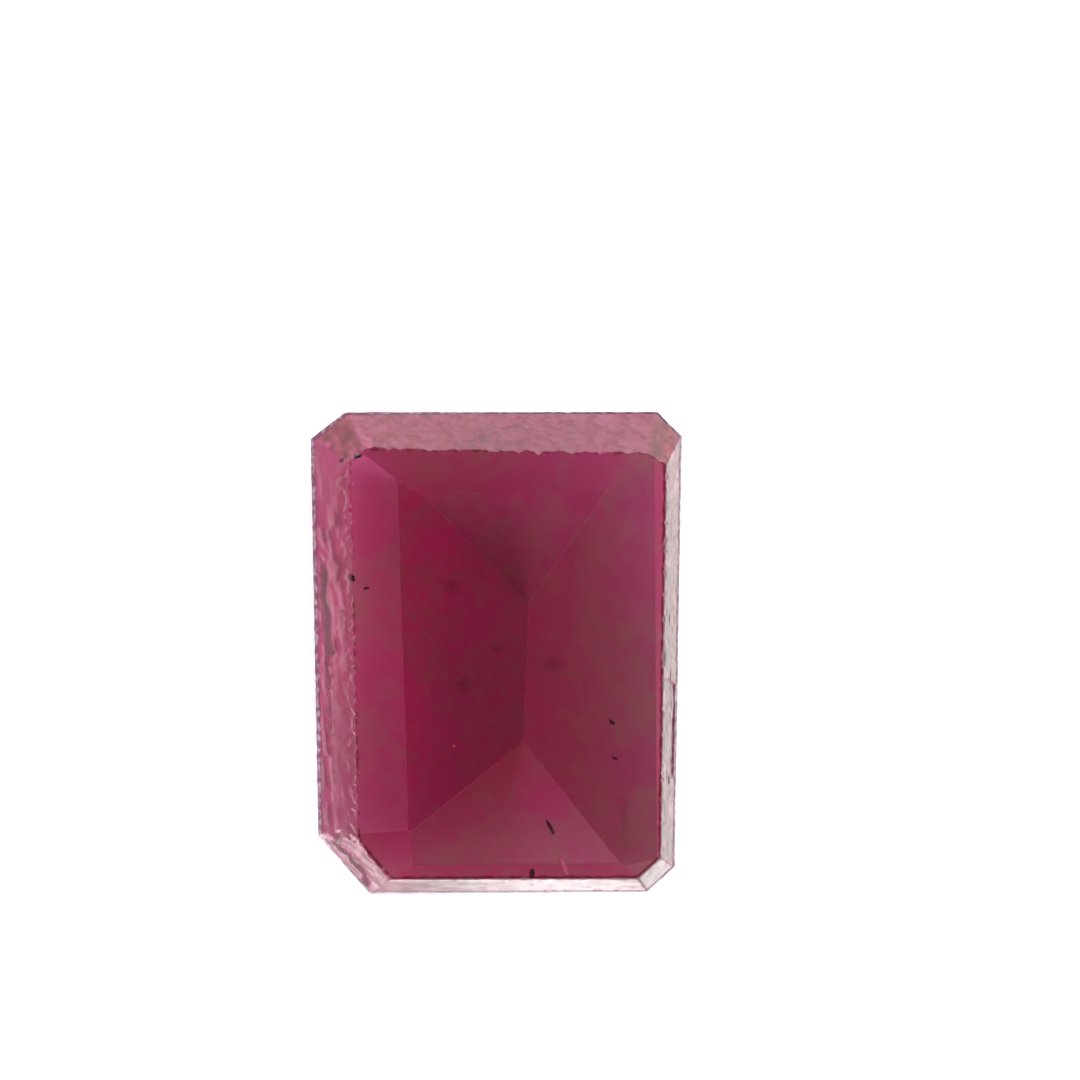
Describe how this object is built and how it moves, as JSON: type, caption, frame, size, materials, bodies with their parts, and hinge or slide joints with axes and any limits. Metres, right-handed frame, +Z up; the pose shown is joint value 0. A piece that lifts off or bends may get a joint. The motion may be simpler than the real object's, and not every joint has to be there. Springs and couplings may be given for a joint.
{
  "type": "faceted ruby gemstone",
  "caption": "Transparent red octagonal step-cut gemstone: broad flat table, narrow crown facets, thin girdle and an off-centre keeled pavilion. It lies on one long pavilion facet.",
  "frame": {"origin": "middle of the long lower pavilion facet that the stone rests on, on the ground", "axes": "+Z up; X along the stone's long side; the table faces up and leans towards -Y"},
  "size_m": [0.01, 0.0067, 0.0047],
  "materials": {
    "ruby": "polished corundum, lightly worn on the crown facets"
  },
  "bodies": {
    "root": {"ruby": "ruby"}
  },
  "joints": []
}
